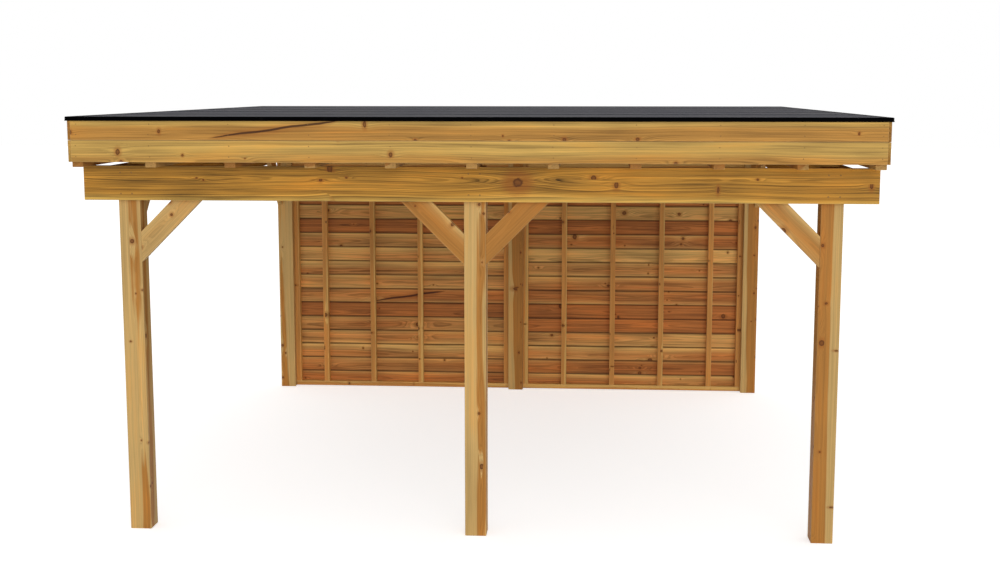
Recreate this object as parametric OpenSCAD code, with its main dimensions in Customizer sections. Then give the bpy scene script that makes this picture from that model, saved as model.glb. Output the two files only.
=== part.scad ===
// Freestanding veranda: a flat-roofed open timber frame on six posts with a
// boarded rear wall. All lengths are in millimetres. The ground is z = 0, the
// front faces -Y, and x = 0, y = 0 is the middle of the footprint.

/* [Posts] */
// Side of the square posts
post_size = 145; // [120:5:180]
// Width of the frame over the outer faces of the corner posts
frame_width = 4800; // [4200:50:6000]
// Depth of the frame over the outer faces of the corner posts
frame_depth = 4800; // [4200:50:6000]
// Clear height from the ground to the underside of the ring planks
clear_height = 2285; // [2100:5:2500]

/* [Ring planks and braces] */
// Height of the planks fixed round the post heads
ring_height = 230; // [180:5:260]
// Thickness of the planks fixed round the post heads
ring_thick = 50; // [40:1:60]
// Length by which the front and rear planks run past the corner posts
header_overhang = 216; // [160:2:300]
// Width of the corner braces
brace_width = 145; // [100:5:160]
// Thickness of the corner braces
brace_thick = 46; // [36:1:60]
// Distance from a post corner to the outer edge of a brace
brace_reach = 422; // [380:2:480]
// Height by which a brace laps behind its ring plank
brace_lap = 115; // [60:5:160]

/* [Roof] */
// Width of a rafter
rafter_width = 70; // [50:2:90]
// Depth of a rafter
rafter_depth = 305; // [290:5:340]
// Spacing of the inner rafters
rafter_pitch = 524; // [500:2:540]
// Length by which the rafters run past the front and rear posts
rafter_overhang = 241; // [180:1:320]
// Thickness of the fascia boards
fascia_thick = 18; // [15:1:24]
// Height of one of the two fascia boards on each side
fascia_board = 141; // [130:1:150]
// Height of the fascia underside above the ring planks
fascia_rise = 34; // [20:1:60]
// Open joint between the two fascia boards
fascia_gap = 2; // [1:1:4]
// Thickness of the roof deck
deck_thick = 18; // [16:1:22]
// Thickness of the roof covering
membrane_thick = 6; // [4:1:8]
// Height of the lip of the roof trim
trim_height = 28; // [24:1:36]
// Thickness of the lip of the roof trim
trim_thick = 12; // [8:1:14]

/* [Rear wall] */
// Width of the studs and height of the rails
stud_width = 50; // [40:2:60]
// Depth of the studs and rails
stud_depth = 68; // [50:2:72]
// Spacing of the studs, counted from the middle post
stud_pitch = 485; // [450:5:500]
// Height of the rails
rail_height = 45; // [40:1:60]
// Clearance between the ground and the wall
wall_lift = 5; // [3:1:20]
// Thickness of the boarding
board_thick = 19; // [16:1:24]
// Number of board courses
board_rows = 16; // [12:1:18]
// Height of the joint line between two courses
board_joint = 5; // [3:1:8]
// Depth of the joint line between two courses
joint_depth = 6; // [3:1:7]

/* [Colours] */
// Planed face of the posts and braces
colour_post = [0.76, 0.58, 0.34];
// Ring planks and rafters
colour_beam = [0.69, 0.47, 0.24];
// Fascia boards
colour_fascia = [0.74, 0.55, 0.33];
// Boards and studs of the rear wall
colour_wall = [0.58, 0.38, 0.20];
// Roof covering
colour_roof = [0.16, 0.16, 0.17];
// Roof trim
colour_trim = [0.05, 0.05, 0.05];

/* [Hidden] */
half_width = frame_width / 2;
half_depth = frame_depth / 2;
ring_top = clear_height + ring_height;
header_half = half_width + header_overhang;
rafter_end = half_depth + rafter_overhang;
rafter_top = ring_top + rafter_depth;
fascia_x = header_half + fascia_thick;
fascia_y = rafter_end + fascia_thick;
fascia_low = ring_top + fascia_rise;
fascia_mid = fascia_low + fascia_board + fascia_gap;
fascia_top = fascia_mid + fascia_board;
deck_top = rafter_top + deck_thick;
roof_top = deck_top + membrane_thick;
trim_x = fascia_x + trim_thick;
trim_y = fascia_y + trim_thick;
trim_low = roof_top - trim_height;
post_x = half_width - post_size / 2;
post_y = half_depth - post_size / 2;
bay_width = half_width - 1.5 * post_size;
bay_start = post_size / 2;
board_back = half_depth;
frame_back = half_depth - board_thick;
frame_front = frame_back - stud_depth;
wall_height = clear_height - wall_lift;
row_height = wall_height / board_rows;

// Box between two corners.
module block(low, high) {
    translate(low)
        cube(high - low);
}

// Square post standing on the ground, up to the top of the ring planks.
module post(x, y) {
    color(colour_post)
        translate([x - post_size / 2, y - post_size / 2, 0])
            cube([post_size, post_size, ring_top]);
}

// Front or rear ring plank; side is -1 for the front and 1 for the rear.
module header(side) {
    low_y = side < 0 ? -half_depth - ring_thick : half_depth;
    color(colour_beam)
        translate([-header_half, low_y, clear_height])
            cube([2 * header_half, ring_thick, ring_height]);
}

// Left or right ring plank, between the front and rear ones.
module side_beam(side) {
    low_x = side < 0 ? -half_width - ring_thick : half_width;
    color(colour_beam)
        translate([low_x, -half_depth, clear_height])
            cube([ring_thick, frame_depth, ring_height]);
}

// Outline of a brace: u runs away from the post face, v up from the
// underside of the ring plank.
module brace_outline() {
    inner = brace_reach - brace_width * sqrt(2);
    polygon([
        [0, -brace_reach],
        [brace_reach + brace_lap, brace_lap],
        [inner + brace_lap, brace_lap],
        [0, -inner]
    ]);
}

// Brace in the front plane; x is the post face it springs from, side the
// direction it leans in.
module brace_front(x, side) {
    color(colour_post)
        translate([x, -half_depth + brace_thick, clear_height])
            mirror([side < 0 ? 1 : 0, 0, 0])
                rotate([90, 0, 0])
                    linear_extrude(height = brace_thick)
                        brace_outline();
}

// Brace in a side plane; side is -1 on the left, way is 1 when it leans
// towards the rear.
module brace_side(side, way) {
    low_x = side < 0 ? -half_width : half_width - brace_thick;
    start_y = -way * (half_depth - post_size);
    color(colour_post)
        translate([low_x, start_y, clear_height])
            mirror([0, way < 0 ? 1 : 0, 0])
                rotate([90, 0, 90])
                    linear_extrude(height = brace_thick)
                        brace_outline();
}

// Rafter number 1 to 11 from the left, lying on the front and rear planks.
module rafter(number) {
    step = number - 6;
    outer = header_half - rafter_width / 2;
    x = abs(step) == 5 ? sign(step) * outer : step * rafter_pitch;
    color(colour_beam)
        translate([x - rafter_width / 2, -rafter_end, ring_top])
            cube([rafter_width, 2 * rafter_end, rafter_depth]);
}

// Two stacked fascia boards closing the rafter ends, between the side ones.
module fascia_end(side) {
    low_y = side < 0 ? -fascia_y : rafter_end;
    color(colour_fascia) {
        translate([-header_half, low_y, fascia_low])
            cube([2 * header_half, fascia_thick, fascia_board]);
        translate([-header_half, low_y, fascia_mid])
            cube([2 * header_half, fascia_thick, fascia_board]);
    }
}

// Two stacked fascia boards along the outermost rafter.
module fascia_side(side) {
    low_x = side < 0 ? -fascia_x : header_half;
    color(colour_fascia) {
        translate([low_x, -fascia_y, fascia_low])
            cube([fascia_thick, 2 * fascia_y, fascia_board]);
        translate([low_x, -fascia_y, fascia_mid])
            cube([fascia_thick, 2 * fascia_y, fascia_board]);
    }
}

// Boarded deck on the rafters.
module roof_deck() {
    color(colour_beam)
        block([-header_half, -rafter_end, rafter_top], [header_half, rafter_end, deck_top]);
}

// Roof covering inside the trim.
module roof_covering() {
    color(colour_roof)
        block([-header_half, -rafter_end, deck_top], [header_half, rafter_end, roof_top]);
}

// Section of the roof trim: a lip outside the fascia and a flange over it.
// u = 0 is the inner face of the fascia and v = 0 the underside of the lip.
module trim_section() {
    flange = fascia_top - trim_low;
    polygon([
        [fascia_thick, 0],
        [fascia_thick + trim_thick, 0],
        [fascia_thick + trim_thick, trim_height],
        [0, trim_height],
        [0, flange],
        [fascia_thick, flange]
    ]);
}

// Trim over the front or rear fascia, full width.
module trim_end(side) {
    color(colour_trim)
        translate([side * trim_x, side * rafter_end, trim_low])
            rotate([0, 0, side < 0 ? 0 : 180])
                rotate([90, 0, 90])
                    linear_extrude(height = 2 * trim_x)
                        mirror([1, 0])
                            trim_section();
}

// Trim over a side fascia, between the front and rear trims.
module trim_side(side) {
    color(colour_trim)
        translate([side * header_half, -side * rafter_end, trim_low])
            rotate([0, 0, side < 0 ? 180 : 0])
                rotate([90, 0, 180])
                    linear_extrude(height = 2 * rafter_end)
                        mirror([1, 0])
                            trim_section();
}

// Studs and rails of one wall panel; side is -1 for the left panel.
module wall_frame(side) {
    color(colour_wall)
        mirror([side < 0 ? 1 : 0, 0, 0]) {
            translate([bay_start, frame_front, wall_lift])
                cube([bay_width, stud_depth, rail_height]);
            translate([bay_start, frame_front, clear_height - rail_height])
                cube([bay_width, stud_depth, rail_height]);
            wall_stud(bay_start);
            wall_stud(bay_start + bay_width - stud_width);
            for (i = [1:4])
                wall_stud(i * stud_pitch - stud_width / 2);
        }
}

// Upright of a wall panel, from rail to rail.
module wall_stud(x) {
    translate([x, frame_front, wall_lift + rail_height])
        cube([stud_width, stud_depth, wall_height - 2 * rail_height]);
}

// Section of the boarding: a plate with a joint line at each course.
module board_section() {
    difference() {
        translate([frame_back, wall_lift])
            square([board_thick, wall_height]);
        for (i = [1:board_rows - 1])
            translate([frame_back, wall_lift + i * row_height - board_joint / 2]) {
                translate([-1, 0])
                    square([joint_depth + 1, board_joint]);
                translate([board_thick - joint_depth, 0])
                    square([joint_depth + 1, board_joint]);
            }
    }
}

// Horizontal boarding of one wall panel; side is -1 for the left panel.
module wall_boards(side) {
    color(colour_wall)
        translate([side < 0 ? -bay_start - bay_width : bay_start, 0, 0])
            rotate([90, 0, 90])
                linear_extrude(height = bay_width)
                    board_section();
}

post(-post_x, -post_y);  // post_front_left
post(0, -post_y);  // post_front_middle
post(post_x, -post_y);  // post_front_right
post(-post_x, post_y);  // post_back_left
post(0, post_y);  // post_back_middle
post(post_x, post_y);  // post_back_right
header(-1);  // header_front
header(1);  // header_back
side_beam(-1);  // side_beam_left
side_beam(1);  // side_beam_right
brace_front(-half_width + post_size, 1);  // brace_front_left
brace_front(-post_size / 2, -1);  // brace_front_middle_left
brace_front(post_size / 2, 1);  // brace_front_middle_right
brace_front(half_width - post_size, -1);  // brace_front_right
brace_side(-1, 1);  // brace_side_front_left
brace_side(1, 1);  // brace_side_front_right
brace_side(-1, -1);  // brace_side_back_left
brace_side(1, -1);  // brace_side_back_right
rafter(1);  // rafter_1
rafter(2);  // rafter_2
rafter(3);  // rafter_3
rafter(4);  // rafter_4
rafter(5);  // rafter_5
rafter(6);  // rafter_6
rafter(7);  // rafter_7
rafter(8);  // rafter_8
rafter(9);  // rafter_9
rafter(10);  // rafter_10
rafter(11);  // rafter_11
fascia_end(-1);  // fascia_front
fascia_end(1);  // fascia_back
fascia_side(-1);  // fascia_left
fascia_side(1);  // fascia_right
roof_deck();
roof_covering();
trim_end(-1);  // trim_front
trim_end(1);  // trim_back
trim_side(-1);  // trim_left
trim_side(1);  // trim_right
wall_frame(-1);  // wall_frame_left
wall_frame(1);  // wall_frame_right
wall_boards(-1);  // wall_boards_left
wall_boards(1);  // wall_boards_right
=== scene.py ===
"""Looks of the freestanding veranda: every timber, the roof, its trim and the fixings."""
import math
import random

import bmesh
import bpy
from mathutils import Matrix, Vector


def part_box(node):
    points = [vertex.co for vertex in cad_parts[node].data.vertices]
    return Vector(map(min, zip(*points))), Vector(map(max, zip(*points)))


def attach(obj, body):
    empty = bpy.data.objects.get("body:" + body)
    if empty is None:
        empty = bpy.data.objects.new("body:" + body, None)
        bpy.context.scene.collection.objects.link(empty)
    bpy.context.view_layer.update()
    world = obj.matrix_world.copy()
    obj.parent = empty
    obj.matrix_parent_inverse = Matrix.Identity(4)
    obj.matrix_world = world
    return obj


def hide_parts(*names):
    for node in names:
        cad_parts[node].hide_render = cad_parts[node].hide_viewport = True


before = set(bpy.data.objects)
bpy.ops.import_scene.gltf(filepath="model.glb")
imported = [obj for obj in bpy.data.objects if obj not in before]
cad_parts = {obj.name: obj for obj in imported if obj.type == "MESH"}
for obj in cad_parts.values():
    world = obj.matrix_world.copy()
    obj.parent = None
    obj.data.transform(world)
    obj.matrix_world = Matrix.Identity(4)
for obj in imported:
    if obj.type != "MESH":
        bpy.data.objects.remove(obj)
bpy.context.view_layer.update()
scene = bpy.context.scene
chance = random.Random(11)


# ---------------------------------------------------------------- node trees


class Socket:
    """One output of a node, with arithmetic."""

    def __init__(self, net, socket):
        self.net = net
        self.socket = socket

    def __add__(self, other):
        return self.net.math("ADD", self, other)

    def __radd__(self, other):
        return self.net.math("ADD", other, self)

    def __sub__(self, other):
        return self.net.math("SUBTRACT", self, other)

    def __rsub__(self, other):
        return self.net.math("SUBTRACT", other, self)

    def __mul__(self, other):
        return self.net.math("MULTIPLY", self, other)

    def __rmul__(self, other):
        return self.net.math("MULTIPLY", other, self)

    def __truediv__(self, other):
        return self.net.math("DIVIDE", self, other)

    def __rtruediv__(self, other):
        return self.net.math("DIVIDE", other, self)

    def __pow__(self, other):
        return self.net.math("POWER", self, other)


class Net:
    """A node tree that is written as formulas."""

    def __init__(self, tree):
        self.tree = tree

    def put(self, socket, value):
        if isinstance(value, Socket):
            self.tree.links.new(value.socket, socket)
        else:
            socket.default_value = value

    def node(self, kind, settings=None, inputs=None, out=0):
        """Adds a node: its settings first, then its sockets by name or number."""
        node = self.tree.nodes.new(kind)
        for key, value in (settings or {}).items():
            setattr(node, key, value)
        for key, value in (inputs or {}).items():
            self.put(node.inputs[key], value)
        return Socket(self, node.outputs[out]) if out is not None else node

    def math(self, operation, *values):
        inputs = dict(enumerate(values))
        return self.node("ShaderNodeMath", {"operation": operation}, inputs)

    def vector(self, operation, *values, out=0):
        inputs = dict(enumerate(values))
        return self.node("ShaderNodeVectorMath", {"operation": operation}, inputs, out)

    def scale(self, vector, factor):
        settings = {"operation": "SCALE"}
        return self.node("ShaderNodeVectorMath", settings, {0: vector, "Scale": factor})

    def join(self, x, y, z):
        return self.node("ShaderNodeCombineXYZ", None, {0: x, 1: y, 2: z})

    def parts(self, vector):
        node = self.node("ShaderNodeSeparateXYZ", None, {0: vector}, out=None)
        return [Socket(self, o) for o in node.outputs]

    def mark(self, name, out="Vector"):
        return self.node("ShaderNodeAttribute", {"attribute_name": name}, None, out)

    def noise(self, vector, detail=2.0, rough=0.5, out="Fac"):
        inputs = {"Vector": vector, "Scale": 1.0, "Detail": detail, "Roughness": rough}
        return self.node("ShaderNodeTexNoise", None, inputs, out)

    def rise(self, value, low, high):
        """0 below low, 1 above high, smooth between them."""
        inputs = {"Value": value, "From Min": low, "From Max": high}
        settings = {"interpolation_type": "SMOOTHSTEP"}
        return self.node("ShaderNodeMapRange", settings, inputs)

    def mix(self, factor, one, two, blend="MIX"):
        settings = {"data_type": "RGBA", "blend_type": blend}
        return self.node("ShaderNodeMix", settings, {0: factor, 6: one, 7: two}, out=2)

    def bump(self, height, strength, distance):
        inputs = {"Height": height, "Strength": strength, "Distance": distance}
        return self.node("ShaderNodeBump", None, inputs)


def srgb(red, green, blue):
    """A paint chart colour, 0 to 255, as the linear colour that a shader takes."""
    parts = [p / 255 for p in (red, green, blue)]
    return tuple(p / 12.92 if p <= 0.04045 else ((p + 0.055) / 1.055) ** 2.4 for p in parts) + (1.0,)


def new_finish(name, **settings):
    """A material with one Principled shader, and the net of its tree."""
    material = bpy.data.materials.new(name)
    material.use_nodes = True
    shader = material.node_tree.nodes["Principled BSDF"]
    for key, value in settings.items():
        shader.inputs[key.replace("_", " ")].default_value = value
    return material, Net(material.node_tree), shader


# ------------------------------------------------------------------ finishes


def timber(
    name,
    pale,
    warm,
    heart=0.06,
    ring=0.0042,
    gap=0.34,
    knots=0.5,
    knot_size=0.010,
    contrast=1.0,
    border=0.004,
    seam=0.0,
    blush=0.55,
    big_knot=None,
    streak=None,
):
    """Solid softwood: growth rings about the pith, sapwood and heartwood, knots and fibres.

    heart is the radius of the heartwood, border half the width of its edge, gap the
    spacing of the knots along the grain, seam the strength of the painted shade along the
    plank's edges, blush the strength of its orange patches.
    big_knot (x, z, radius) and streak (x, z, x, z, width) are single marks on the
    plank's face."""
    material, net, shader = new_finish("grain_of_" + name, IOR=1.45, Specular_IOR_Level=0.2)
    spot = net.mark("spot")
    tone_x, tone_y, tone_z = net.parts(net.mark("tone"))
    a, b, c = net.parts(net.vector("ADD", spot, net.mark("pith")))
    seed = tone_z * 40.0

    # The centre of the tree wanders along the plank.
    wander = net.parts(net.noise(net.join(a * 0.7, seed, 0.0), 1.0, out="Color"))
    b = b + (wander[0] - 0.5) * 0.05
    c = c + (wander[1] - 0.5) * 0.05
    ripple = net.noise(net.join(a * 3.0, b * 14.0, c * 14.0), 2.0)
    radius = net.math("SQRT", b * b + c * c) + (ripple - 0.5) * 0.010
    angle = net.math("ARCTAN2", c, b)

    # Knots grow outwards from the centre, one to a cell of length and angle.
    cell = {"voronoi_dimensions": "2D", "feature": "F1"}
    spread = net.join(a / gap, angle * 1.4 + seed, 0.0)
    cells = net.node("ShaderNodeTexVoronoi", cell, {"Vector": spread, "Scale": 1.0}, out=None)
    knot_a, knot_angle, _ = net.parts(Socket(net, cells.outputs["Position"]))
    luck, girth, _ = net.parts(Socket(net, cells.outputs["Color"]))
    off_a = a - knot_a * gap
    off_b = (angle * 1.4 + seed - knot_angle) / 1.4 * radius
    wobble = net.noise(net.join(a * 60.0, b * 60.0, c * 60.0), 2.0)
    reach = net.math("SQRT", off_a * off_a * 0.8 + off_b * off_b) + (wobble - 0.5) * 0.006
    here = net.math("LESS_THAN", luck, knots)
    size = (knot_size * 0.45 + knot_size * 1.4 * girth * girth) * here
    flow = net.math("SQRT", off_a * off_a * 0.10 + off_b * off_b) / (size + 0.002)
    swell = net.math("EXPONENT", flow * flow * -0.35) * here

    if big_knot:
        x, y, z = net.parts(net.node("ShaderNodeTexCoord", None, None, "Object"))
        side = x - big_knot[0]
        up = z - big_knot[1]
        turn = (wobble - 0.5) * 0.022
        big = net.math("SQRT", side * side * 0.7 + up * up) + turn
        big_flow = net.math("SQRT", side * side * 0.12 + up * up) / (big_knot[2] * 1.2)
        swell_big = net.math("EXPONENT", big_flow * big_flow * -0.5)
        radius = radius + swell_big * 0.030

    rings = radius + swell * size * 1.1
    drawn = net.noise(net.join(a * 0.3, rings * 45.0, angle * 0.5 + seed), 3.0, 0.6)
    phase = rings / ring + drawn * 3.0
    year = net.math("FRACT", phase)
    late = net.rise(year, 0.35, 0.85) * (1.0 - net.rise(year, 0.9, 1.0))

    # Sapwood outside, heartwood inside, with an uneven border.
    bay = net.noise(net.join(a * 0.55 + seed, angle * 0.9, 0.5), 2.0)
    heart_radius = heart + (tone_x - 0.5) * 0.20 + (bay - 0.5) * 0.06
    frayed = rings + (drawn - 0.5) * 0.006
    core = 1.0 - net.rise(frayed - heart_radius, -border, border)

    # Long bands, patches and fibres.
    band = net.noise(net.join(a * 0.55, rings * 150.0, angle * 2.0 + seed), 3.0, 0.65)
    lanes = net.noise(net.join(a * 0.8 + seed, b * 70.0, c * 70.0), 2.0, 0.6)
    patch = net.noise(net.join(a * 1.5 + seed, b * 7.0, c * 7.0), 2.0)
    fibre = net.noise(net.join(a * 16.0, b * 480.0, c * 480.0), 2.0, 0.6)

    shade = 1.0 + (drawn - 0.5) * (0.55 * contrast) + (band - 0.5) * (0.50 * contrast)
    shade = shade + (lanes - 0.5) * (0.46 * contrast) + (patch - 0.5) * (0.50 * contrast)
    shade = shade + (fibre - 0.5) * 0.16 + (tone_y - 0.5) * 0.5
    shade = shade - late * (0.13 * contrast)

    colour = net.mix(core, pale, warm)
    flush = net.rise(patch + (lanes - 0.5) * 0.5, 0.50, 0.78)
    colour = net.mix(flush * blush, colour, (1.0, 0.80, 0.56, 1.0), "MULTIPLY")
    colour = net.scale(colour, shade)

    # A knot: a dark rim, a brown heart and a warm halo.
    halo = (1.0 - net.rise(reach, size * 0.8, size * 2.6 + 0.002)) * here
    face = (1.0 - net.rise(reach, size * 0.75, size * 1.02 + 0.0006)) * here
    rim = face * net.rise(reach, size * 0.25, size * 0.95)
    if big_knot:
        wide = big_knot[2]
        halo = net.math("MAXIMUM", halo, 1.0 - net.rise(big, wide * 0.9, wide * 2.1))
        big_face = 1.0 - net.rise(big, wide * 0.35, wide * 0.62)
        face = net.math("MAXIMUM", face, big_face)
        rim = net.math("MAXIMUM", rim, big_face * net.rise(big, wide * 0.15, wide * 0.45))
    colour = net.mix(halo * 0.55, colour, srgb(158, 88, 30))
    colour = net.mix(face * 0.75, colour, srgb(112, 62, 20))
    colour = net.mix(rim * 0.70, colour, srgb(60, 28, 8))

    # Edge distance of a point on a face: the second smallest of the three.
    gaps = net.vector("SUBTRACT", net.mark("size"), net.vector("ABSOLUTE", spot))
    end_gap, wide_gap, thick_gap = net.parts(gaps)
    lesser = net.math("MINIMUM", wide_gap, thick_gap)
    greater = net.math("MAXIMUM", wide_gap, thick_gap)
    edge = net.math("MAXIMUM", lesser, net.math("MINIMUM", greater, end_gap))
    tip = net.rise(net.mark("tip", "Fac"), 0.3, 0.6)
    worn = (1.0 - net.rise(edge + (wobble - 0.5) * 0.004, 0.001, 0.006)) * (1.0 - tip)
    colour = net.mix(worn * 0.22, colour, srgb(214, 182, 128))
    # Painted shade: the plank darkens along its long edges, where the joints between boards lie in shade.
    if seam:
        painted_seam_shade = 1.0 - net.rise(greater + (drawn - 0.5) * 0.008, 0.003, 0.013)
        colour = net.mix(painted_seam_shade * seam, colour, srgb(62, 32, 14))

    # Sawn ends: darker, thirsty grain.
    colour = net.mix(tip * 0.45, colour, (0.55, 0.44, 0.34, 1.0), "MULTIPLY")

    height = fibre * 0.5 + late * 0.35 + band * 0.4 - face * 0.8
    gloss = 0.50 + late * 0.08 + (fibre - 0.5) * 0.20 + tip * 0.2 + (patch - 0.5) * 0.1
    if streak:
        x1, z1, x2, z2, width = streak
        long = math.hypot(x2 - x1, z2 - z1)
        dir_x, dir_z = (x2 - x1) / long, (z2 - z1) / long
        x, y, z = net.parts(net.node("ShaderNodeTexCoord", None, None, "Object"))
        run = (x - x1) * dir_x + (z - z1) * dir_z
        bend = net.noise(net.join(run * 5.0, 3.7, 0.0), 2.0) - 0.5
        away = net.math("ABSOLUTE", (z - z1) * dir_x - (x - x1) * dir_z + bend * 0.020)
        girth = width * net.rise(run, -0.15, long * 0.30) * (1.0 - net.rise(run, long * 0.8, long))
        dark = 1.0 - net.rise(away, girth * 0.5, girth + 0.0015)
        soft = 1.0 - net.rise(away, girth, girth * 4.0 + 0.010)
        within = net.rise(run, -0.06, 0.02) * (1.0 - net.rise(run, long - 0.03, long + 0.02))
        colour = net.mix(soft * within * 0.35, colour, srgb(150, 78, 26))
        colour = net.mix(dark * within * 0.88, colour, srgb(52, 22, 8))
        height = height - dark * within * 1.2

    net.put(shader.inputs["Base Color"], colour)
    net.put(shader.inputs["Roughness"], gloss)
    net.put(shader.inputs["Normal"], net.bump(height, 0.55, 0.0012))
    return material


def felt():
    """Grey roofing felt with fine mineral grit, a few scuffs and dust."""
    material, net, shader = new_finish("roof_felt_grey", Specular_IOR_Level=0.2)
    place = net.node("ShaderNodeTexCoord", None, None, "Object")
    grit = net.noise(net.scale(place, 420.0), 2.0, 0.7)
    speck = net.noise(net.scale(place, 130.0), 2.0, 0.6)
    cloud = net.noise(net.scale(place, 1.3), 3.0, 0.55)
    colour = net.mix(grit, srgb(37, 37, 41), srgb(89, 88, 96))
    colour = net.mix(net.rise(speck, 0.60, 0.72) * 0.35, colour, srgb(122, 121, 126))
    colour = net.mix(net.rise(cloud, 0.40, 0.75) * 0.22, colour, srgb(98, 95, 92))
    net.put(shader.inputs["Base Color"], colour)
    net.put(shader.inputs["Roughness"], 0.95 - cloud * 0.15)
    net.put(shader.inputs["Normal"], net.bump(grit + speck * 0.6, 0.6, 0.0012))
    return material


def coated_metal():
    """Black powder-coated sheet: fine orange peel, dust and faint grey streaks."""
    material, net, shader = new_finish("roof_trim_black", Specular_IOR_Level=0.01)
    place = net.node("ShaderNodeTexCoord", None, None, "Object")
    x, y, z = net.parts(place)
    peel = net.noise(net.scale(place, 900.0), 1.0)
    dust = net.noise(net.scale(place, 7.0), 4.0, 0.6)
    run = net.noise(net.join(x * 40.0, y * 40.0, z * 4.0), 2.0)
    colour = net.mix(dust * 0.5, srgb(1, 1, 2), srgb(6, 5, 5))
    colour = net.mix(net.rise(run, 0.62, 0.78) * 0.25, colour, srgb(30, 28, 26))
    net.put(shader.inputs["Base Color"], colour)
    net.put(shader.inputs["Roughness"], 0.38 + dust * 0.25)
    net.put(shader.inputs["Normal"], net.bump(peel + dust * 0.4, 0.15, 0.0004))
    return material


def coated_screw():
    """Bronze-coated screw heads with dull spots."""
    material, net, shader = new_finish("screw_bronze", Metallic=0.8)
    place = net.node("ShaderNodeTexCoord", None, None, "Object")
    spots = net.noise(net.scale(place, 600.0), 2.0, 0.6)
    haze = net.noise(net.scale(place, 60.0), 2.0)
    colour = net.mix(spots, srgb(104, 78, 44), srgb(150, 116, 70))
    colour = net.mix(net.rise(haze, 0.5, 0.7) * 0.5, colour, srgb(84, 58, 32))
    net.put(shader.inputs["Base Color"], colour)
    net.put(shader.inputs["Roughness"], 0.35 + spots * 0.3)
    net.put(shader.inputs["Normal"], net.bump(spots, 0.2, 0.0003))
    return material


# -------------------------------------------------------------- plank meshes

TURN = {
    "x": Matrix(((1, 0, 0), (0, 1, 0), (0, 0, 1))).to_4x4(),
    "y": Matrix(((0, 0, 1), (1, 0, 0), (0, 1, 0))).to_4x4(),
    "z": Matrix(((0, 1, 0), (0, 0, 1), (1, 0, 0))).to_4x4(),
}


class Planks:
    """Collects chamfered planks in one mesh, with what the timber finish reads.

    spot is a point's place from the plank's middle (along, across, through), size half
    of the plank's extent, pith the plank's place from the centre of its tree, and tone
    its heartwood, its brightness and its chance number."""

    def __init__(self, name, own_marks=True):
        self.name = name
        self.mesh = bmesh.new()
        names = ("spot", "size", "pith", "tone") if own_marks else ("spot", "size")
        self.marks = {n: self.mesh.verts.layers.float_vector.new(n) for n in names}
        self.tip = self.mesh.faces.layers.float.new("tip")

    def add(self, outline, depth, place, flat=False, arris=0.0025, steps=2, pith=None, tone=None):
        """Adds a prism: outline across the grain, or in its plane when flat."""
        part = bmesh.new()
        ends = []
        for side in (-depth / 2, depth / 2):
            spots = [(u, v, side) if flat else (side, u, v) for u, v in outline]
            ends.append([part.verts.new(s) for s in spots])
        part.faces.new(ends[0])
        part.faces.new(ends[1][::-1])
        for i in range(len(outline)):
            j = (i + 1) % len(outline)
            part.faces.new((ends[0][j], ends[0][i], ends[1][i], ends[1][j]))
        bmesh.ops.recalc_face_normals(part, faces=part.faces)
        half = Vector([max(abs(v.co[i]) for v in part.verts) for i in range(3)])
        bmesh.ops.bevel(
            part,
            geom=list(part.edges),
            offset=arris,
            offset_type="OFFSET",
            segments=steps,
            profile=0.6,
            affect="EDGES",
            clamp_overlap=True,
        )
        values = {"size": half, "pith": pith, "tone": tone}
        twins = {}
        for v in part.verts:
            twin = self.mesh.verts.new(place @ v.co)
            for name, layer in self.marks.items():
                twin[layer] = v.co if name == "spot" else Vector(values[name])
            twins[v] = twin
        for f in part.faces:
            f.normal_update()
            face = self.mesh.faces.new([twins[v] for v in f.verts])
            face[self.tip] = abs(f.normal.x)
        part.free()

    def block(self, low, high, axis, **how):
        """Adds a straight plank between two corners, its grain along an axis."""
        low, high = Vector(low), Vector(high)
        turn = TURN[axis]
        span = turn.to_3x3().transposed() @ (high - low)
        v, w = span.y / 2, span.z / 2
        outline = [(-v, -w), (v, -w), (v, w), (-v, w)]
        self.add(outline, span.x, Matrix.Translation((low + high) / 2) @ turn, **how)

    def done(self, material=None):
        """The collected planks as one object at the origin."""
        mesh = bpy.data.meshes.new(self.name)
        self.mesh.to_mesh(mesh)
        self.mesh.free()
        piece = bpy.data.objects.new(self.name, mesh)
        scene.collection.objects.link(piece)
        if material:
            mesh.materials.append(material)
        return piece


def tree_place(across=0.0, through=0.0, spread=0.0):
    """A plank's place in its tree, with a chance start along the grain."""
    return (
        chance.uniform(0.0, 30.0),
        across + chance.uniform(-spread, spread),
        through + chance.uniform(-spread, spread),
    )


def tone_of(heart=0.5, light=0.5, spread=0.0):
    """A plank's heartwood and brightness, 0.5 as usual, and its chance number."""
    return (
        heart + chance.uniform(-spread, spread),
        light + chance.uniform(-spread, spread),
        chance.random(),
    )


def settle(piece, slot, *nodes):
    """The piece moves with the body, and stands for these CAD nodes."""
    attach(piece, "root")
    if nodes:
        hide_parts(*nodes)
    return piece


# ------------------------------------------------------------ geometry nodes


def grown(name, tree, values, base=None):
    """Runs a geometry node tree on a base mesh and keeps the result as a plain mesh."""
    piece = bpy.data.objects.new(name, base or bpy.data.meshes.new(name + "_base"))
    scene.collection.objects.link(piece)
    modifier = piece.modifiers.new("grow", "NODES")
    modifier.node_group = tree
    for item in tree.interface.items_tree:
        if item.in_out == "INPUT" and item.name in values:
            modifier[item.identifier] = values[item.name]
    scene.view_layers[0].update()
    graph = bpy.context.evaluated_depsgraph_get()
    shown = piece.evaluated_get(graph)
    mesh = bpy.data.meshes.new_from_object(shown, preserve_all_data_layers=True, depsgraph=graph)
    piece.modifiers.remove(modifier)
    piece.data = mesh
    mesh.name = name
    mesh.materials.clear()
    mesh.materials.append(values["Finish"])
    mesh.polygons.foreach_set("material_index", [0] * len(mesh.polygons))
    return piece


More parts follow.
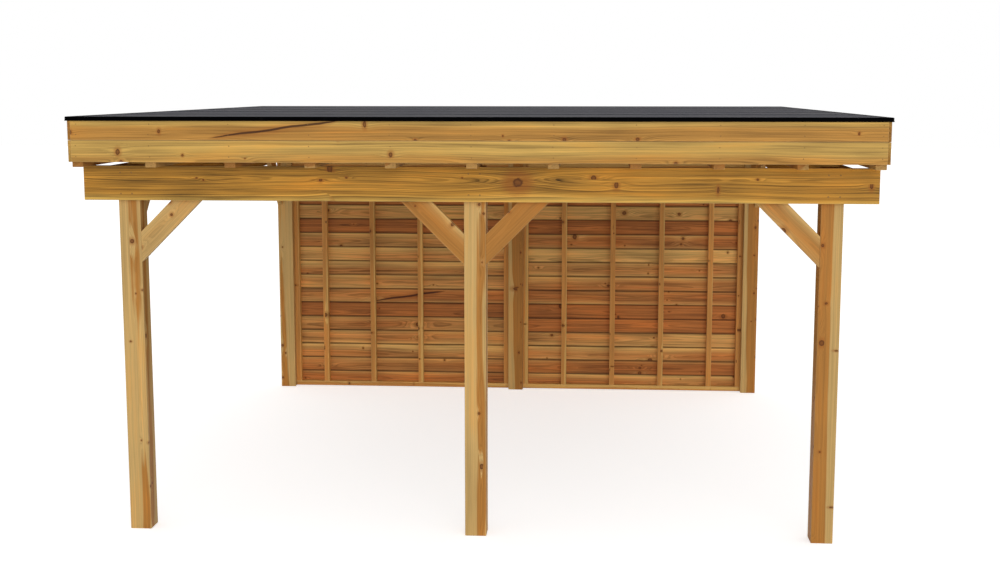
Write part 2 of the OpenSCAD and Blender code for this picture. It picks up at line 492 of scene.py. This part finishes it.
def new_tree(name, sockets):
    """An empty geometry node tree with these inputs and one geometry output."""
    tree = bpy.data.node_groups.new(name, "GeometryNodeTree")
    tree.interface.new_socket("Geometry", in_out="OUTPUT", socket_type="NodeSocketGeometry")
    for title, kind in sockets.items():
        tree.interface.new_socket(title, in_out="INPUT", socket_type="NodeSocket" + kind)
    net = Net(tree)
    start = net.node("NodeGroupInput", out=None)
    inputs = {title: Socket(net, start.outputs[title]) for title in sockets}
    return tree, net, inputs


def row_tree():
    """A row of one plank, each with its own place in the tree and its own tone."""
    sockets = {
        "Plank": "Object",
        "Count": "Int",
        "Start": "Vector",
        "Step": "Vector",
        "Limit": "Vector",
        "Pith low": "Vector",
        "Pith high": "Vector",
        "Tone low": "Vector",
        "Tone high": "Vector",
        "Seed": "Int",
        "Finish": "Material",
    }
    tree, net, given = new_tree("row_of_planks", sockets)
    line = {"Count": given["Count"], "Start Location": given["Start"], "Offset": given["Step"]}
    points = net.node("GeometryNodeMeshLine", {"mode": "OFFSET"}, line)
    spot = net.node("GeometryNodeInputPosition")
    back = net.scale(given["Limit"], -1.0)
    spot = net.vector("MINIMUM", net.vector("MAXIMUM", spot, back), given["Limit"])
    points = net.node("GeometryNodeSetPosition", None, {"Geometry": points, "Position": spot})
    plank = net.node("GeometryNodeObjectInfo", None, {"Object": given["Plank"]}, "Geometry")
    row = {"Points": points, "Instance": plank}
    row = net.node("GeometryNodeInstanceOnPoints", None, row)
    number = net.node("GeometryNodeInputIndex")
    for shift, title in enumerate(("Pith", "Tone")):
        span = {
            0: given[title + " low"],
            1: given[title + " high"],
            "ID": number,
            "Seed": net.math("ADD", given["Seed"], float(shift * 50)),
        }
        vector = {"data_type": "FLOAT_VECTOR"}
        value = net.node("FunctionNodeRandomValue", vector, span)
        store = {"data_type": "FLOAT_VECTOR", "domain": "INSTANCE"}
        kept = {"Geometry": row, "Name": title.lower(), "Value": value}
        row = net.node("GeometryNodeStoreNamedAttribute", store, kept)
    row = net.node("GeometryNodeRealizeInstances", None, {"Geometry": row})
    row = net.node("GeometryNodeSetMaterial", None, {"Geometry": row, "Material": given["Finish"]})
    net.node("NodeGroupOutput", None, {0: row}, out=None)
    return tree


def screw_tree():
    """A screw head on every point, facing the way the point says, turned by chance."""
    sockets = {
        "Points": "Geometry",
        "Head": "Object",
        "Size": "Float",
        "Seed": "Int",
        "Finish": "Material",
    }
    tree, net, given = new_tree("screws_on_points", sockets)
    named = {"data_type": "FLOAT_VECTOR"}
    facing = net.node("GeometryNodeInputNamedAttribute", named, {"Name": "facing"})
    aim = {"Vector": facing}
    turn = net.node("FunctionNodeAlignRotationToVector", {"axis": "Z"}, aim)
    span = {2: 0.0, 3: math.tau, "Seed": given["Seed"]}
    spin = net.node("FunctionNodeRandomValue", {"data_type": "FLOAT"}, span, 1)
    spin = net.node("FunctionNodeEulerToRotation", None, {0: net.join(0.0, 0.0, spin)})
    local = {"rotation_space": "LOCAL"}
    turn = net.node("FunctionNodeRotateRotation", local, {"Rotation": turn, "Rotate By": spin})
    head = net.node("GeometryNodeObjectInfo", None, {"Object": given["Head"]}, "Geometry")
    row = {"Points": given["Points"], "Instance": head, "Rotation": turn, "Scale": given["Size"]}
    row = net.node("GeometryNodeInstanceOnPoints", None, row)
    row = net.node("GeometryNodeRealizeInstances", None, {"Geometry": row})
    row = net.node("GeometryNodeSetMaterial", None, {"Geometry": row, "Material": given["Finish"]})
    net.node("NodeGroupOutput", None, {0: row}, out=None)
    return tree


ROW = row_tree()
SCREWS = screw_tree()


def row_of(name, low, high, axis, values, arris, steps=2):
    """A row of equal planks that starts as the block between low and high."""
    low, high = Vector(low), Vector(high)
    middle = (low + high) / 2
    single = Planks(name + "_one", own_marks=False)
    single.block(low - middle, high - middle, axis, arris=arris, steps=steps)
    plank = single.done()
    values = {"Plank": plank, "Start": middle, "Limit": (9.0, 9.0, 9.0), **values}
    piece = grown(name, ROW, values)
    bpy.data.objects.remove(plank)
    return piece


# -------------------------------------------------------------- the finishes

PALE = srgb(208, 170, 106)
WARM = srgb(182, 124, 56)

post_wood = timber("post_timber", PALE, WARM, gap=0.34, knots=0.32, knot_size=0.010)
header_knot = (0.285, 2.414, 0.056)
header_wood = timber(
    "header_timber",
    srgb(212, 170, 84),
    srgb(184, 132, 50),
    heart=0.135,
    ring=0.008,
    gap=0.9,
    knots=0.35,
    contrast=3.0,
    border=0.030,
    big_knot=header_knot,
)
beam_wood = timber(
    "beam_timber",
    srgb(212, 170, 84),
    srgb(184, 132, 50),
    heart=0.135,
    ring=0.008,
    gap=0.6,
    contrast=2.0,
    border=0.030,
)
brace_wood = timber("brace_timber", PALE, WARM, heart=0.09, gap=0.32, knots=0.3, border=0.03)
rafter_wood = timber("rafter_timber", srgb(208, 166, 100), srgb(188, 134, 70), heart=0.08, gap=0.4)
fascia_look = {
    "heart": 0.10,
    "ring": 0.005,
    "gap": 0.46,
    "knots": 0.42,
    "knot_size": 0.009,
    "contrast": 1.9,
    "border": 0.022,
}
fascia_wood = timber("fascia_timber", srgb(203, 163, 86), srgb(188, 136, 64), **fascia_look)
fascia_front_wood = timber(
    "fascia_front_timber",
    srgb(203, 163, 86),
    srgb(188, 136, 64),
    streak=(-1.66, 2.712, -0.82, 2.822, 0.0085),
    **fascia_look,
)
deck_wood = timber("deck_timber", srgb(204, 164, 92), srgb(178, 124, 60), heart=0.08)
stud_wood = timber("wall_frame_timber", srgb(222, 176, 100), srgb(206, 144, 74), heart=0.05, knots=0.25)
board_look = {
    "heart": 0.10,
    "ring": 0.006,
    "gap": 0.55,
    "knots": 0.28,
    "knot_size": 0.011,
    "border": 0.040,
    "blush": 0.38,
}
board_wood = timber(
    "wall_board_timber",
    srgb(230, 182, 106),
    srgb(190, 116, 56),
    seam=0.75,
    contrast=1.9,
    **board_look,
)
board_left_wood = timber(
    "wall_board_left_timber",
    srgb(230, 182, 106),
    srgb(190, 116, 56),
    seam=0.75,
    contrast=1.9,
    streak=(-1.43, 0.880, -0.72, 0.985, 0.0120),
    **board_look,
)
grey_felt = felt()
black_sheet = coated_metal()
bronze = coated_screw()


# --------------------------------------------------------------------- posts

POSTS = {
    # name: the pith's place from the post's middle (across, through), heartwood, brightness
    "post_front_left": (0.030, -0.024, 0.46, 0.52),
    "post_front_middle": (0.036, -0.029, 0.46, 0.54),
    "post_front_right": (-0.062, -0.040, 0.62, 0.47),
    "post_back_left": (-0.040, -0.020, 0.50, 0.56),
    "post_back_middle": (0.050, -0.050, 0.60, 0.40),
    "post_back_right": (0.050, -0.030, 0.62, 0.44),
}
for node, (across, through, heartwood, light) in POSTS.items():
    low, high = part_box(node)
    post = Planks(node + "_timber")
    pith = tree_place(-across, -through)
    post.block(low, high, "z", arris=0.004, steps=3, pith=pith, tone=tone_of(heartwood, light))
    settle(post.done(post_wood), "post_timber", node)


# ------------------------------------------------------ ring planks and braces

for node in ("header_front", "header_back"):
    low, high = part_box(node)
    plank = Planks(node + "_timber")
    # header_back gets a far darker tone than header_front: painted shade for the gap under the roof.
    light = 0.63 if node == "header_front" else 0.15
    where = tree_place(0.045, -0.030)
    plank.block(low, high, "x", arris=0.003, pith=where, tone=tone_of(0.44, light))
    wood = header_wood if node == "header_front" else beam_wood
    settle(plank.done(wood), "beam_timber", node)
for node in ("side_beam_left", "side_beam_right"):
    low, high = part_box(node)
    plank = Planks(node + "_timber")
    plank.block(low, high, "y", arris=0.003, pith=tree_place(0.040, 0.060), tone=tone_of(0.5, 0.45))
    settle(plank.done(beam_wood), "beam_timber", node)


def brace(node, lean_axis, way, heartwood=0.5):
    """A diagonal brace with a plumb foot and a level head, from its CAD box."""
    low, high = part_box(node)
    rise = high.z - low.z
    width = 0.145
    half = width / 2
    run = rise * math.sqrt(2) / 2
    # The outline in the brace's own axes: along at 45 degrees, across to its left.
    diagonal = math.sqrt(0.5)
    side = {"x": Vector((way, 0, 0)), "y": Vector((0, way, 0))}[lean_axis]
    along = (side + Vector((0, 0, 1))) * diagonal
    across = (Vector((0, 0, 1)) - side) * diagonal
    through = along.cross(across)
    middle = (low + high) / 2
    foot = middle.copy()
    foot.z = low.z
    axis_number = "xy".index(lean_axis)
    foot[axis_number] = low[axis_number] if way > 0 else high[axis_number]
    reach = width * math.sqrt(2)
    corners = [
        foot,
        foot + (side + Vector((0, 0, 1))) * rise,
        foot + (side + Vector((0, 0, 1))) * rise - side * reach,
        foot + Vector((0, 0, reach)),
    ]
    centre = sum(corners, Vector()) / 4
    centre[1 - axis_number] = middle[1 - axis_number]
    outline = [((p - centre).dot(along), (p - centre).dot(across)) for p in corners]
    place = Matrix((along, across, through)).transposed().to_4x4()
    place = Matrix.Translation(centre) @ place
    depth = high[1 - axis_number] - low[1 - axis_number]
    plank = Planks(node + "_timber")
    tone = tone_of(heartwood, 0.5, 0.02)
    plank.add(outline, depth, place, flat=True, arris=0.003, pith=tree_place(0.02, 0.08, 0.02), tone=tone)
    settle(plank.done(brace_wood), "brace_timber", node)


brace("brace_front_left", "x", 1, 0.46)
brace("brace_front_middle_left", "x", -1, 0.50)
brace("brace_front_middle_right", "x", 1, 0.80)
brace("brace_front_right", "x", -1, 0.54)
brace("brace_side_front_left", "y", 1)
brace("brace_side_front_right", "y", 1)
brace("brace_side_back_left", "y", -1)
brace("brace_side_back_right", "y", -1)


# ---------------------------------------------------------- rafters and deck

rafter_nodes = [f"rafter_{n}" for n in range(1, 12)]
first_low, first_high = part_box("rafter_1")
last_low, last_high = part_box("rafter_11")
middle_low, middle_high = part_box("rafter_6")
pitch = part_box("rafter_7")[0].x - middle_low.x
reach = pitch * 5
rafters = row_of(
    "rafters",
    middle_low - Vector((reach, 0, 0)),
    middle_high - Vector((reach, 0, 0)),
    "y",
    {
        "Count": 11,
        "Step": (pitch, 0.0, 0.0),
        "Limit": ((last_low.x + last_high.x) / 2, 9.0, 9.0),
        "Pith low": (0.0, 0.02, 0.02),
        "Pith high": (30.0, 0.09, 0.06),
        "Tone low": (0.40, 0.36, 0.0),
        "Tone high": (0.75, 0.54, 1.0),
        "Seed": 4,
        "Finish": rafter_wood,
    },
    arris=0.003,
)
settle(rafters, "rafter_timber", *rafter_nodes)

low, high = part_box("roof_deck")
deck_boards = 44
board = (high.y - low.y) / deck_boards
deck = row_of(
    "roof_deck_boards",
    low,
    (high.x, low.y + board, high.z),
    "x",
    {
        "Count": deck_boards,
        "Step": (0.0, board, 0.0),
        "Pith low": (0.0, 0.03, -0.10),
        "Pith high": (30.0, 0.08, 0.10),
        # The low brightness (0.05 to 0.35) is painted shade: the deck is seen only in the dark gap under
        # the roof.
        "Tone low": (0.45, 0.05, 0.0),
        "Tone high": (0.80, 0.35, 1.0),
        "Seed": 9,
        "Finish": deck_wood,
    },
    arris=0.003,
    steps=1,
)
settle(deck, "deck_timber", "roof_deck")


# ------------------------------------------------------------- fascia boards

half_gap = 0.001
for node in ("fascia_front", "fascia_back", "fascia_left", "fascia_right"):
    low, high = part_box(node)
    middle = (low.z + high.z) / 2
    axis = "x" if node in ("fascia_front", "fascia_back") else "y"
    planks = Planks(node + "_boards")
    stack = [(low.z, middle - half_gap, 0.34, 0.54), (middle + half_gap, high.z, 0.62, 0.47)]
    for bottom, top, heartwood, light in stack:
        planks.block(
            (low.x, low.y, bottom),
            (high.x, high.y, top),
            axis,
            arris=0.002,
            pith=tree_place(0.050, 0.075, 0.015),
            tone=tone_of(heartwood, light, 0.02),
        )
    wood = fascia_front_wood if node == "fascia_front" else fascia_wood
    settle(planks.done(wood), "fascia_timber", node)


# ----------------------------------------------------------------- rear wall

# The courses from the bottom up: how much heartwood each board shows.
KINDS = {
    "pale": (0.34, 0.54),
    "tan": (0.40, 0.51),
    "orange": (0.52, 0.52),
    "red": (0.84, 0.50),
    "brown": (0.62, 0.40),
    "mixed": (0.57, 0.42),
}
COURSES = (
    "tan orange pale tan brown red orange tan pale pale tan brown tan red tan tan".split()
)
RAIL = 0.045
STUD = 0.050
STUD_PITCH = 0.485
for side in ("left", "right"):
    low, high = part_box("wall_frame_" + side)
    sign = -1 if side == "left" else 1
    bars = Planks("wall_frame_" + side + "_timber")
    for bottom, top in ((low.z, low.z + RAIL), (high.z - RAIL, high.z)):
        bars.block(
            (low.x, low.y, bottom),
            (high.x, high.y, top),
            "x",
            arris=0.002,
            pith=tree_place(0.03, 0.04, 0.01),
            tone=tone_of(0.42, 0.58, 0.05),
        )
    inner = low.x if sign > 0 else high.x
    outer = high.x if sign > 0 else low.x
    starts = [inner + sign * STUD / 2, outer - sign * STUD / 2]
    starts += [sign * STUD_PITCH * k for k in range(1, 5)]
    for x in starts:
        bars.block(
            (x - STUD / 2, low.y, low.z + RAIL),
            (x + STUD / 2, high.y, high.z - RAIL),
            "z",
            arris=0.002,
            pith=tree_place(0.03, 0.04, 0.02),
            tone=tone_of(0.5, 0.60, 0.12),
        )
    settle(bars.done(stud_wood), "wall_frame_timber", "wall_frame_" + side)

    low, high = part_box("wall_boards_" + side)
    rows = len(COURSES)
    tall = (high.z - low.z) / rows
    half = tall / 2
    thick = (high.y - low.y) / 2
    rebate = thick - 0.006
    lip = half - 0.0025
    # Across the board is y and through it is z here, as the grain runs along x.
    section = [
        (-thick, -lip),
        (-rebate, -lip),
        (-rebate, -half),
        (rebate, -half),
        (rebate, -lip),
        (thick, -lip),
        (thick, lip),
        (rebate, lip),
        (rebate, half),
        (-rebate, half),
        (-rebate, lip),
        (-thick, lip),
    ]
    boards = Planks("wall_boards_" + side + "_timber")
    for row, kind in enumerate(COURSES):
        heartwood, light = KINDS[kind]
        middle = Vector(((low.x + high.x) / 2, (low.y + high.y) / 2, low.z + tall * (row + 0.5)))
        boards.add(
            section,
            high.x - low.x,
            Matrix.Translation(middle),
            arris=0.0012,
            steps=1,
            pith=tree_place(0.085, 0.02, 0.03),
            tone=tone_of(heartwood, light, 0.05),
        )
    wood = board_left_wood if side == "left" else board_wood
    settle(boards.done(wood), "wall_board_timber", "wall_boards_" + side)


# ------------------------------------------------------------- roof covering


def ring_sweep(name, section, half_x, half_y, base, material):
    """A closed section (outwards, up) swept round a rectangle with mitred corners."""
    mesh = bmesh.new()
    rings = []
    for out, up in section:
        x, y = half_x + out, half_y + out
        corners = ((-x, -y), (x, -y), (x, y), (-x, y))
        rings.append([mesh.verts.new((p, q, base + up)) for p, q in corners])
    for i in range(len(rings)):
        one, two = rings[i], rings[(i + 1) % len(rings)]
        for k in range(4):
            m = (k + 1) % 4
            mesh.faces.new((one[k], one[m], two[m], two[k]))
    bmesh.ops.recalc_face_normals(mesh, faces=mesh.faces)
    data = bpy.data.meshes.new(name)
    mesh.to_mesh(data)
    mesh.free()
    data.materials.append(material)
    piece = bpy.data.objects.new(name, data)
    scene.collection.objects.link(piece)
    return piece


low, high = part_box("roof_covering")
inset = 0.001
sheets = Planks("roof_covering_sheets", own_marks=False)
sheet_count = 5
sheet = (high.y - low.y - 2 * inset) / sheet_count
lap = 0.09
for n in range(sheet_count):
    near = low.y + inset + n * sheet
    far = near + sheet
    # Each sheet lies on the ground layer and laps over the one in front of it.
    start = near - (lap if n else 0.0)
    lift = 0.0030 if n else 0.0024
    top = high.z - 0.0004
    body = [
        (start, low.z + lift),
        (near + 0.01, low.z + lift),
        (near + 0.02, low.z),
        (far, low.z),
        (far, top - 0.0030),
        (near + 0.03, top - 0.0030),
        (near + 0.01, top),
        (start, top),
    ]
    if not n:
        body = [(near, low.z), (far, low.z), (far, top - 0.0030), (near, top - 0.0030)]
    place = Matrix.Translation(((low.x + high.x) / 2, 0, 0))
    sheets.add(body, high.x - low.x - 2 * inset, place, arris=0.0006, steps=1)
settle(sheets.done(grey_felt), "roof_felt", "roof_covering")


# ---------------------------------------------------------------- roof trim

low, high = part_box("trim_front")
side_low, side_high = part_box("trim_right")
fascia_low, fascia_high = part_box("fascia_front")
half_x = fascia_high.x
half_y = -fascia_high.y
board_thick = fascia_high.y - fascia_low.y
over = high.x - half_x
tall = high.z - low.z
cover = fascia_high.z - low.z
# Outwards from the fascia's inner face, up from the lip's lower edge.
sheet_section = [
    (board_thick + 0.0005, 0.0015),
    (board_thick + 0.0030, 0.0),
    (over - 0.0030, 0.0),
    (over - 0.0008, 0.0010),
    (over, 0.0040),
    (over - 0.0020, 0.0075),
    (over - 0.0020, tall - 0.0045),
    (over - 0.0028, tall - 0.0022),
    (over - 0.0050, tall - 0.0008),
    (over - 0.0080, tall),
    (over - 0.0140, tall),
    (over - 0.0180, tall - 0.0014),
    (0.0010, tall - 0.0014),
    (0.0004, tall - 0.0020),
    (0.0004, cover + 0.0006),
    (board_thick + 0.0005, cover + 0.0006),
]
trim = ring_sweep("roof_trim_sheet", sheet_section, half_x, half_y, low.z, black_sheet)
trim_nodes = ("trim_front", "trim_back", "trim_left", "trim_right")
settle(trim, "roof_trim", *trim_nodes)

# Joint covers over the butted lengths of the trim.
covers = Planks("roof_trim_joint_covers", own_marks=False)
face = over - 0.0020
clip = [
    (face - 0.0010, 0.0080),
    (face + 0.0012, 0.0080),
    (face + 0.0012, tall - 0.0045),
    (face - 0.0010, tall - 0.0045),
]
for x in (-half_x + 0.035, -1.30, 1.30, half_x - 0.035):
    for side in (-1, 1):
        outline = [(side * (half_y + u), low.z + v) for u, v in clip]
        covers.add(outline, 0.060, Matrix.Translation((x, 0, 0)), arris=0.0003, steps=1)
for y in (-half_y + 0.035, -1.32, 1.32, half_y - 0.035):
    for side in (-1, 1):
        outline = [(low.z + v, side * (half_x + u)) for u, v in clip]
        covers.add(outline, 0.060, Matrix.Translation((0, y, 0)) @ TURN["y"], arris=0.0003, steps=1)
settle(covers.done(black_sheet), "roof_trim")


# -------------------------------------------------------------------- screws


def screw_head():
    """A flat screw head of unit diameter with a round recess, its top at z = 0.1."""
    mesh = bmesh.new()
    profile = [(0.50, -0.05), (0.50, 0.03), (0.40, 0.10), (0.24, 0.10), (0.20, -0.04)]
    rings = []
    for radius, z in profile:
        turns = [math.tau * k / 12 for k in range(12)]
        rings.append([mesh.verts.new((radius * math.cos(t), radius * math.sin(t), z)) for t in turns])
    for one, two in zip(rings, rings[1:]):
        for k in range(12):
            m = (k + 1) % 12
            mesh.faces.new((one[k], one[m], two[m], two[k]))
    mesh.faces.new(rings[-1])
    mesh.faces.new(rings[0][::-1])
    bmesh.ops.recalc_face_normals(mesh, faces=mesh.faces)
    data = bpy.data.meshes.new("screw_head_one")
    mesh.to_mesh(data)
    mesh.free()
    piece = bpy.data.objects.new("screw_head_one", data)
    scene.collection.objects.link(piece)
    return piece


def screws(name, places, size, seed, slot):
    """Screw heads at (place, facing) pairs, made by the screw tree."""
    base = bpy.data.meshes.new(name + "_points")
    base.from_pydata([p for p, _ in places], [], [])
    facing = base.attributes.new("facing", "FLOAT_VECTOR", "POINT")
    facing.data.foreach_set("vector", [n for _, f in places for n in f])
    head = screw_head()
    values = {"Head": head, "Size": size, "Seed": seed, "Finish": bronze}
    piece = grown(name, SCREWS, values, base)
    bpy.data.objects.remove(head)
    settle(piece, slot)


rafter_x = [(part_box(n)[0].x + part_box(n)[1].x) / 2 for n in rafter_nodes]
spots = []
for node, side in (("fascia_front", -1), ("fascia_back", 1)):
    low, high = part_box(node)
    y = low.y if side < 0 else high.y
    for x in rafter_x:
        for up in (0.035, 0.105, 0.178, 0.245):
            spots.append(((x + chance.uniform(-0.004, 0.004), y, low.z + up), (0, side, 0)))
for node, side in (("fascia_left", -1), ("fascia_right", 1)):
    low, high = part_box(node)
    x = low.x if side < 0 else high.x
    for k in range(11):
        y = low.y + 0.06 + k * (high.y - low.y - 0.12) / 10
        for up in (0.035, 0.105, 0.178, 0.245):
            spots.append(((x, y + chance.uniform(-0.004, 0.004), low.z + up), (side, 0, 0)))
screws("fascia_screws", spots, 0.007, 3, "fascia_timber")

spots = []
for node, side in (("header_front", -1), ("header_back", 1)):
    low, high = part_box(node)
    y = low.y if side < 0 else high.y
    for post in ("post_front_left", "post_front_middle", "post_front_right"):
        left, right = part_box(post)
        for x in (left.x + 0.035, right.x - 0.035):
            for up in (0.045, 0.185):
                spots.append(((x, y, low.z + up), (0, side, 0)))
for node, side in (("side_beam_left", -1), ("side_beam_right", 1)):
    low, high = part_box(node)
    x = low.x if side < 0 else high.x
    for post in ("post_front_left", "post_back_left"):
        near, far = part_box(post)
        for y in (near.y + 0.035, far.y - 0.035):
            for up in (0.045, 0.185):
                spots.append(((x, y, low.z + up), (side, 0, 0)))
screws("beam_screws", spots, 0.011, 5, "beam_timber")

spots = []
for side in ("left", "right"):
    sign = -1 if side == "left" else 1
    low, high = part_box("wall_boards_" + side)
    tall = (high.z - low.z) / len(COURSES)
    lines = [sign * STUD_PITCH * k for k in range(1, 5)]
    lines += [low.x + STUD / 2, high.x - STUD / 2]
    for x in lines:
        for row in range(len(COURSES)):
            for up in (0.035, tall - 0.035):
                place = (x + chance.uniform(-0.003, 0.003), high.y, low.z + tall * row + up)
                spots.append((place, (0, 1, 0)))
screws("wall_screws", spots, 0.006, 8, "wall_board_timber")


# ----------------------------------------------- floor, world, lamp and camera

floor_mesh = bpy.data.meshes.new("floor")
reach = 60.0
corners = [(-reach, -reach, 0), (reach, -reach, 0), (reach, reach, 0), (-reach, reach, 0)]
floor_mesh.from_pydata(corners, [], [(0, 1, 2, 3)])
floor = bpy.data.objects.new("floor", floor_mesh)
scene.collection.objects.link(floor)
floor_paint = bpy.data.materials.new("floor_paint")
floor_paint.use_nodes = True
net = Net(floor_paint.node_tree)
floor_paint.node_tree.nodes.remove(floor_paint.node_tree.nodes["Principled BSDF"])
rays = net.node("ShaderNodeLightPath", out=None)
seen = net.math(
    "MAXIMUM",
    Socket(net, rays.outputs["Is Camera Ray"]),
    net.math(
        "MAXIMUM",
        Socket(net, rays.outputs["Is Glossy Ray"]),
        Socket(net, rays.outputs["Is Transmission Ray"]),
    ),
)
matt = net.node("ShaderNodeBsdfDiffuse", None, {"Color": (0.82, 0.82, 0.82, 1.0)})
glow = net.node("ShaderNodeEmission", None, {"Color": (1.0, 1.0, 1.0, 1.0), "Strength": 0.63})
both = net.node("ShaderNodeAddShader", None, {0: matt, 1: glow})
paint = net.node("ShaderNodeMixShader", None, {0: seen, 1: matt, 2: both})
net.put(floor_paint.node_tree.nodes["Material Output"].inputs["Surface"], paint)
floor_mesh.materials.append(floor_paint)

world = bpy.data.worlds.new("studio")
scene.world = world
world.use_nodes = True
net = Net(world.node_tree)
rays = net.node("ShaderNodeLightPath", out=None)
seen = net.math(
    "MAXIMUM",
    Socket(net, rays.outputs["Is Camera Ray"]),
    net.math(
        "MAXIMUM",
        Socket(net, rays.outputs["Is Glossy Ray"]),
        Socket(net, rays.outputs["Is Transmission Ray"]),
    ),
)
dome = net.node("ShaderNodeBackground", None, {"Color": (1.0, 1.0, 1.0, 1.0), "Strength": 0.64})
white = net.node("ShaderNodeBackground", None, {"Color": (1.0, 1.0, 1.0, 1.0), "Strength": 1.0})
sky = net.node("ShaderNodeMixShader", None, {0: seen, 1: dome, 2: white})
net.put(world.node_tree.nodes["World Output"].inputs["Surface"], sky)

lamp = bpy.data.lights.new("front_lamp", "SUN")
lamp.energy = 1.55
lamp.angle = math.radians(50)
lamp_object = bpy.data.objects.new("front_lamp", lamp)
lamp_object.rotation_euler = (math.radians(86), 0.0, math.radians(10))
scene.collection.objects.link(lamp_object)

camera = bpy.data.cameras.new("camera")
camera.lens = 50.0
camera.sensor_width = 36.0
camera.clip_end = 200.0
camera_object = bpy.data.objects.new("camera", camera)
camera_object.location = (0.79941, -11.51203, 3.0249)
camera_object.rotation_euler = (math.pi / 2 - 0.13827, 0.0, 0.06937)
scene.collection.objects.link(camera_object)
scene.camera = camera_object

scene.view_settings.view_transform = "Standard"
